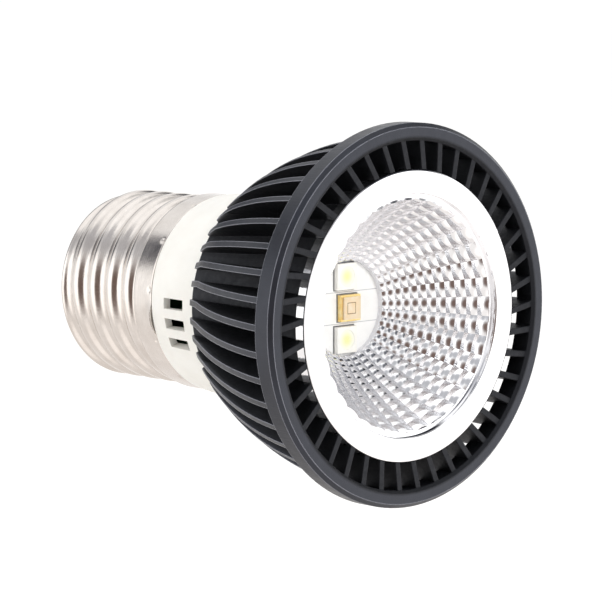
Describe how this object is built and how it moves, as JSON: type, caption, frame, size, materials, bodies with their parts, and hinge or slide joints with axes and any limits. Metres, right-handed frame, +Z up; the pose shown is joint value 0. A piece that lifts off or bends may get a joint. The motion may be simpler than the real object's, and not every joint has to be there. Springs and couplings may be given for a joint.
{
  "type": "reptile lamp bulb",
  "caption": "Screw-cap reptile lamp with a vented plastic neck, a finned black heat sink with a front ring, and a faceted mirror bowl round its light packages.",
  "frame": {"origin": "tip of the centre contact, on the lamp's axis: the end that goes into the lampholder", "axes": "+X along the lamp's axis from the contact tip to the open face, +Z up with the group of vent slots that the picture shows on the -Y side, +Y across"},
  "size_m": [0.0613, 0.05, 0.05],
  "materials": {
    "shell_nickel": "bright nickel plate, rolled",
    "contact_brass": "nickel-plated brass, lightly rubbed",
    "cap_glass": "black cap glass, glossy",
    "housing_white": "white moulded plastic, satin gloss",
    "sink_black": "black anodised, satin",
    "reflector_silver": "vacuum-metallised moulding",
    "pad_grey": "soft grey thermal pad",
    "board_white": "metal-core board with white solder mask",
    "package_white": "white moulded package",
    "phosphor_yellow": "yellow phosphor in silicone",
    "uvb_gold": "ceramic with gold-plated top",
    "chip_dark": "semiconductor chip",
    "window_glass": "clear quartz window",
    "screw_steel": "zinc-plated steel",
    "driver_green": "glass-fibre board, green mask",
    "ferrite": "dark ferrite, matt",
    "bobbin_black": "black moulded plastic",
    "winding_tape": "copper winding under yellow tape",
    "capacitor_sleeve": "dark shrink sleeve on an aluminium can",
    "film_yellow": "potted box",
    "resistor_green": "lacquered ceramic rod",
    "chip_black": "moulded epoxy",
    "lead_red": "silicone insulation",
    "lead_black": "silicone insulation",
    "lead_tinned": "tinned copper wire"
  },
  "bodies": {
    "root": {"screw_shell": "shell_nickel", "centre_contact": "contact_brass", "contact_pin": "contact_brass", "cap_insulator": "cap_glass", "driver_housing": "housing_white", "heat_sink": "sink_black", "reflector": "reflector_silver", "thermal_pad": "pad_grey", "led_board": "board_white", "white_led_upper": "package_white", "white_led_lower": "package_white", "white_led_upper_phosphor": "phosphor_yellow", "white_led_lower_phosphor": "phosphor_yellow", "uvb_led_base": "uvb_gold", "uvb_led_chip": "chip_dark", "uvb_led_window": "window_glass", "board_screws": "screw_steel", "housing_screws": "screw_steel", "driver_board": "driver_green", "transformer_core": "ferrite", "transformer_bobbin": "bobbin_black", "transformer_winding": "winding_tape", "bulk_capacitor": "capacitor_sleeve", "output_capacitor": "capacitor_sleeve", "film_capacitor": "film_yellow", "fusible_resistor": "resistor_green", "bridge_rectifier": "chip_black", "driver_chip": "chip_black", "chip_resistors": "chip_black", "live_lead": "lead_red", "led_positive_lead": "lead_red", "led_negative_lead": "lead_black", "neutral_lead": "lead_tinned"}
  },
  "joints": []
}
